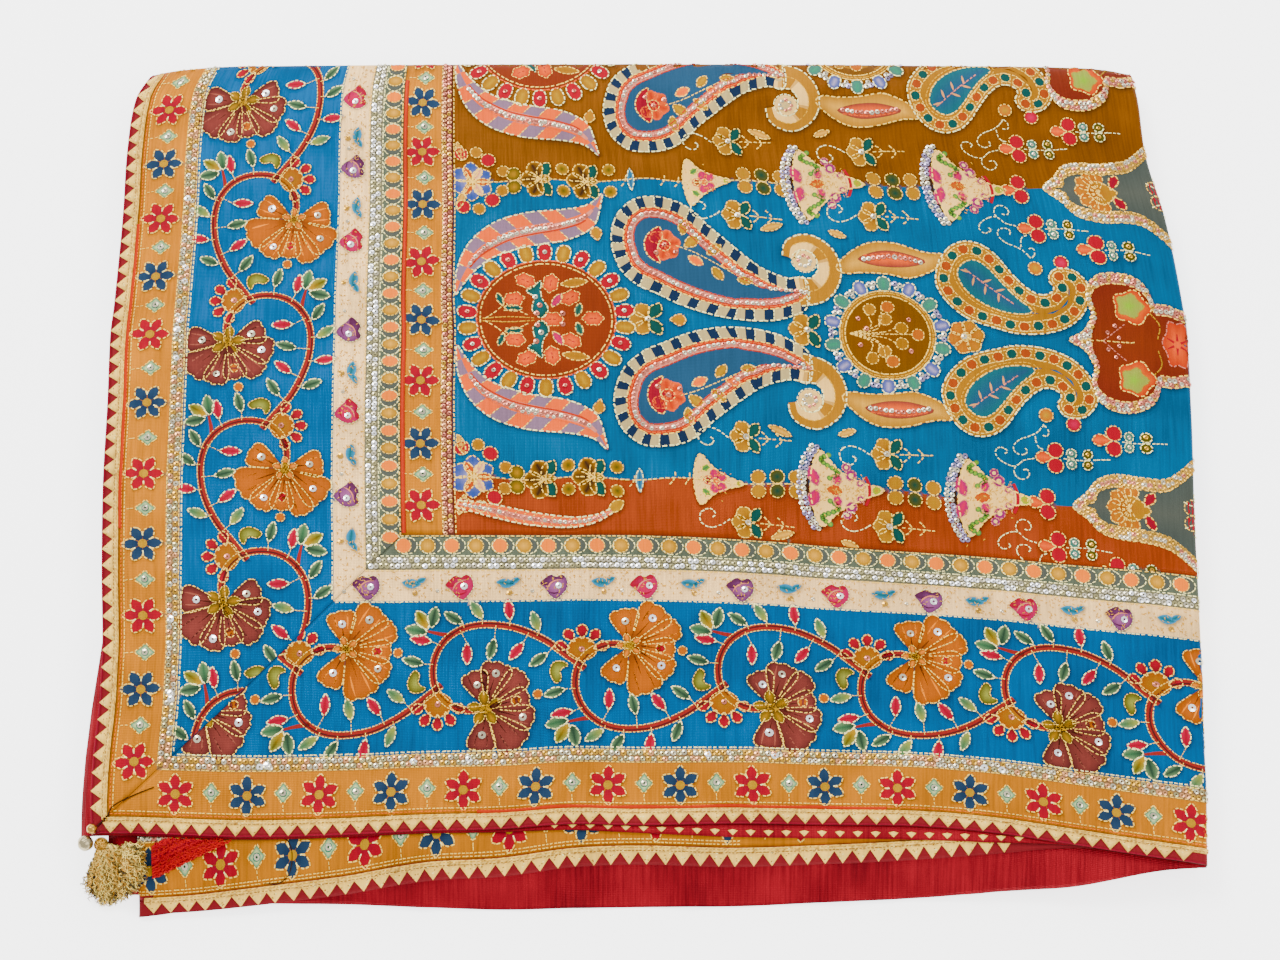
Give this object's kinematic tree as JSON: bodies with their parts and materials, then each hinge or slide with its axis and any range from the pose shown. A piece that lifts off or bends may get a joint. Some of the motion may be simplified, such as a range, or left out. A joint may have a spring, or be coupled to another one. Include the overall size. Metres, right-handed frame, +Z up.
{
  "type": "folded saree",
  "caption": "Saree folded into a flat rectangular pack: mitred patterned border, toothed lace edges, red facing showing at the front and a tassel with beads at one corner.",
  "frame": {"origin": "centre of the pack's outline, on the surface that it lies on", "axes": "+X to the right along the front edge, towards the fold; +Y back towards the long fold; +Z up"},
  "size_m": [0.7361, 0.6038, 0.0317],
  "materials": {
    "printed_silk": "printed and embroidered satin silk with sequins",
    "red_binding": "matt red silk",
    "red_facing": "red satin with a soft sheen",
    "metallic_lace": "woven cream lace with metallic gold thread",
    "gold_thread": "crinkled gold metal thread",
    "red_thread": "red silk thread",
    "gold_bead": "polished gold plating",
    "silver_bead": "polished silver plating"
  },
  "bodies": {
    "root": {"top_field": "printed_silk", "top_end_border": "printed_silk", "top_side_border": "printed_silk", "top_inner_border": "printed_silk", "top_end_edging": "red_binding", "top_side_edging": "red_binding", "top_end_lace": "metallic_lace", "top_side_lace": "metallic_lace", "second_layer": "red_facing", "third_layer": "printed_silk", "third_edging": "red_binding", "third_lace": "metallic_lace", "fourth_layer": "red_facing", "hidden_layers": "red_facing", "gold_tassel": "gold_thread", "red_tassel": "red_thread", "small_bead": "gold_bead", "large_bead": "silver_bead"}
  },
  "joints": []
}
